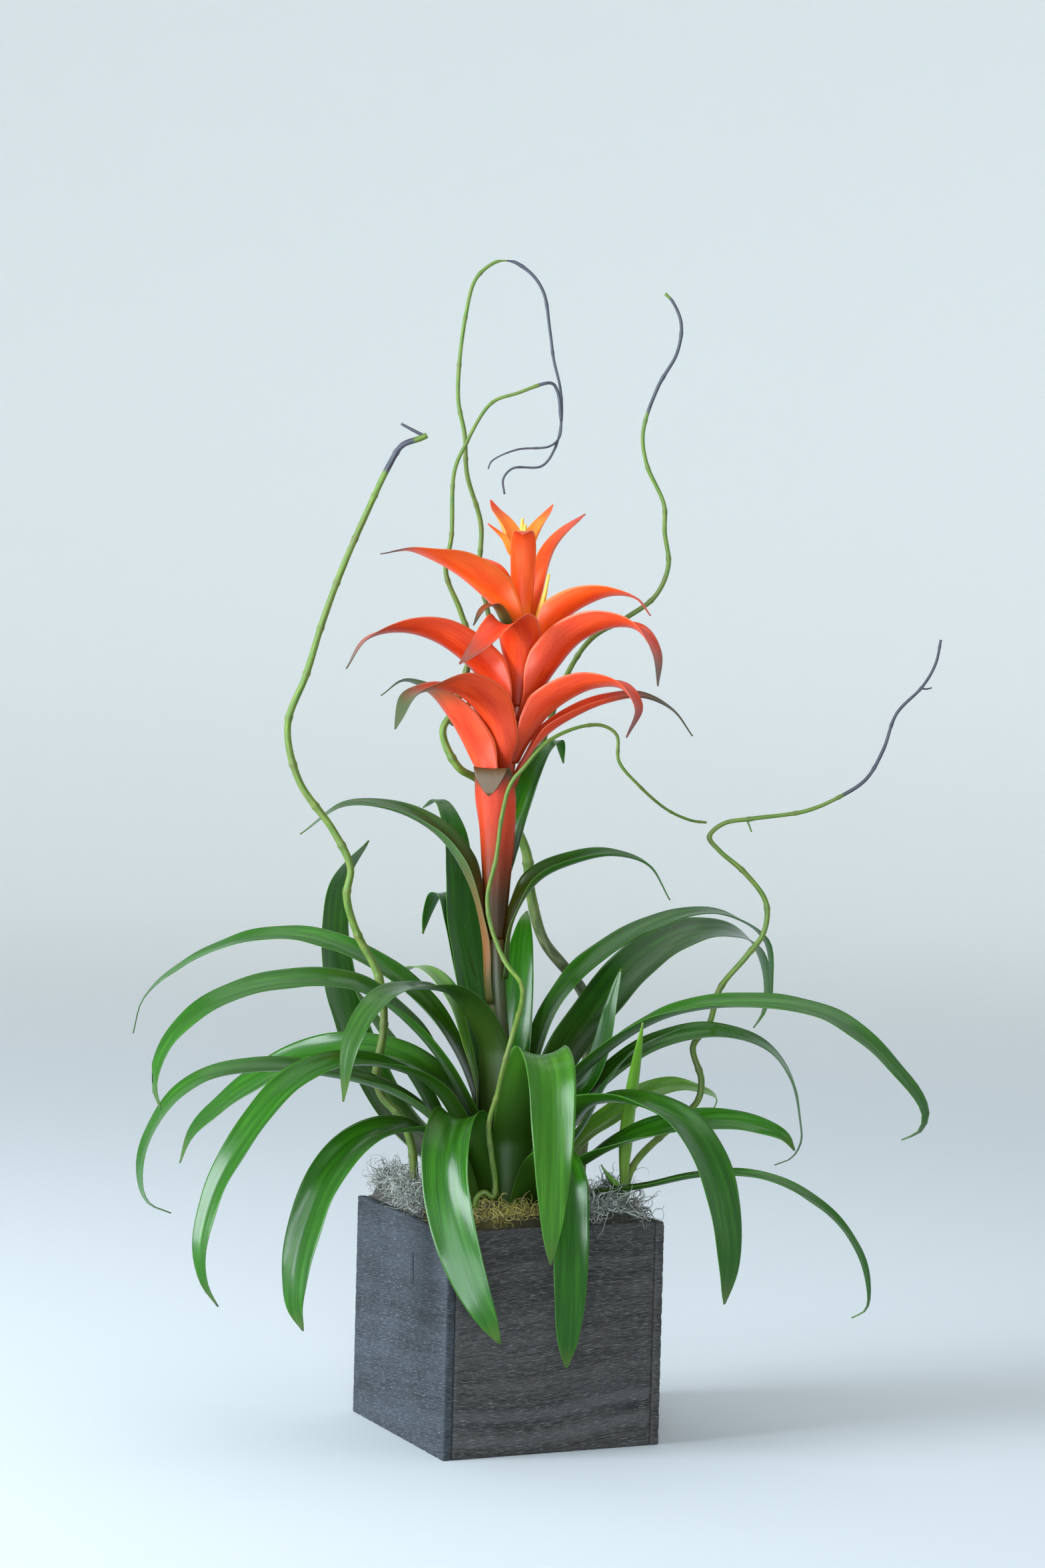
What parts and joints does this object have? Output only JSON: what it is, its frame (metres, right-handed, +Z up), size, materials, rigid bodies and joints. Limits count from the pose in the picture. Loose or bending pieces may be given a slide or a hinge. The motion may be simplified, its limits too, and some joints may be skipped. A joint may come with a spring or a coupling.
{
  "type": "potted bromeliad",
  "caption": "Flowering bromeliad with strap leaves and a tiered bloom of coloured bracts, with curly vine stems and moss, in a square wooden box planter.",
  "frame": {"origin": "centre of the planter's underside, where it stands", "axes": "+Z up along the flower stem; X and Y square to the planter's sides; -Y faces out of its front right face and -X out of its front left face as pictured"},
  "size_m": [0.5089, 0.4029, 0.7649],
  "materials": {
    "leaf_upright_back": "glossy",
    "leaf_tall_back": "glossy",
    "leaf_folded_left": "glossy",
    "leaf_right_high": "glossy",
    "leaf_back_left_young": "glossy",
    "leaf_left_thin": "glossy",
    "leaf_left_high": "glossy",
    "leaf_right_broad": "glossy",
    "leaf_left_broad": "glossy",
    "leaf_right_long": "glossy",
    "leaf_right_upright": "glossy",
    "leaf_left_front": "glossy",
    "leaf_front_centre": "glossy",
    "leaf_left_low": "glossy",
    "leaf_right_arched": "glossy",
    "leaf_right_dark": "glossy",
    "leaf_right_front": "glossy",
    "leaf_front_left": "glossy",
    "leaf_left_drooping": "glossy",
    "leaf_back_left_tall": "glossy",
    "leaf_right_low": "glossy",
    "leaf_right_yellow": "glossy",
    "leaf_front_hanging": "glossy",
    "leaf_right_thin": "glossy",
    "stem_leaf_left": "glossy",
    "stem_leaf_right": "glossy",
    "bract_tube": "glossy",
    "stem_leaf_hooked": "glossy",
    "bract_low_left": "glossy",
    "bract_long_right": "glossy",
    "bract_low_front_left": "glossy",
    "bract_low_right": "glossy",
    "bract_middle_left": "glossy",
    "bract_middle_front": "glossy",
    "bract_middle_right": "glossy",
    "bract_dark_small": "glossy",
    "bract_upper_right": "glossy",
    "bract_upper_left": "glossy",
    "bract_upper_front": "glossy",
    "bract_upper_back": "glossy",
    "bract_upright_right": "glossy",
    "flower_stem": "satin",
    "crown_bracts": "glossy",
    "crown_florets": "glossy",
    "vine_left": "smooth green bark",
    "vine_front": "smooth green bark",
    "vine_right": "smooth green bark",
    "vine_back": "smooth green bark",
    "side_shoot": "glossy",
    "sheet_moss": "loose and fibrous",
    "grey_moss_left": "loose and fibrous",
    "grey_moss_right": "loose and fibrous",
    "board_left": "weathered",
    "board_right": "weathered",
    "board_front": "weathered",
    "board_back": "weathered",
    "board_bottom": "weathered",
    "plastic_liner": "smooth",
    "soil": "loose and dark"
  },
  "bodies": {
    "root": {"leaf_upright_back": "leaf_upright_back", "leaf_tall_back": "leaf_tall_back", "leaf_folded_left": "leaf_folded_left", "leaf_right_high": "leaf_right_high", "leaf_back_left_young": "leaf_back_left_young", "leaf_left_thin": "leaf_left_thin", "leaf_left_high": "leaf_left_high", "leaf_right_broad": "leaf_right_broad", "leaf_left_broad": "leaf_left_broad", "leaf_right_long": "leaf_right_long", "leaf_right_upright": "leaf_right_upright", "leaf_left_front": "leaf_left_front", "leaf_front_centre": "leaf_front_centre", "leaf_left_low": "leaf_left_low", "leaf_right_arched": "leaf_right_arched", "leaf_right_dark": "leaf_right_dark", "leaf_right_front": "leaf_right_front", "leaf_front_left": "leaf_front_left", "leaf_left_drooping": "leaf_left_drooping", "leaf_back_left_tall": "leaf_back_left_tall", "leaf_right_low": "leaf_right_low", "leaf_right_yellow": "leaf_right_yellow", "leaf_front_hanging": "leaf_front_hanging", "leaf_right_thin": "leaf_right_thin", "stem_leaf_left": "stem_leaf_left", "stem_leaf_right": "stem_leaf_right", "bract_tube": "bract_tube", "stem_leaf_hooked": "stem_leaf_hooked", "bract_low_left": "bract_low_left", "bract_long_right": "bract_long_right", "bract_low_front_left": "bract_low_front_left", "bract_low_right": "bract_low_right", "bract_middle_left": "bract_middle_left", "bract_middle_front": "bract_middle_front", "bract_middle_right": "bract_middle_right", "bract_dark_small": "bract_dark_small", "bract_upper_right": "bract_upper_right", "bract_upper_left": "bract_upper_left", "bract_upper_front": "bract_upper_front", "bract_upper_back": "bract_upper_back", "bract_upright_right": "bract_upright_right", "flower_stem": "flower_stem", "crown_bracts": "crown_bracts", "crown_florets": "crown_florets", "vine_left": "vine_left", "vine_front": "vine_front", "vine_right": "vine_right", "vine_back": "vine_back", "side_shoot": "side_shoot", "sheet_moss": "sheet_moss", "grey_moss_left": "grey_moss_left", "grey_moss_right": "grey_moss_right", "board_left": "board_left", "board_right": "board_right", "board_front": "board_front", "board_back": "board_back", "board_bottom": "board_bottom", "plastic_liner": "plastic_liner", "soil": "soil"}
  },
  "joints": []
}
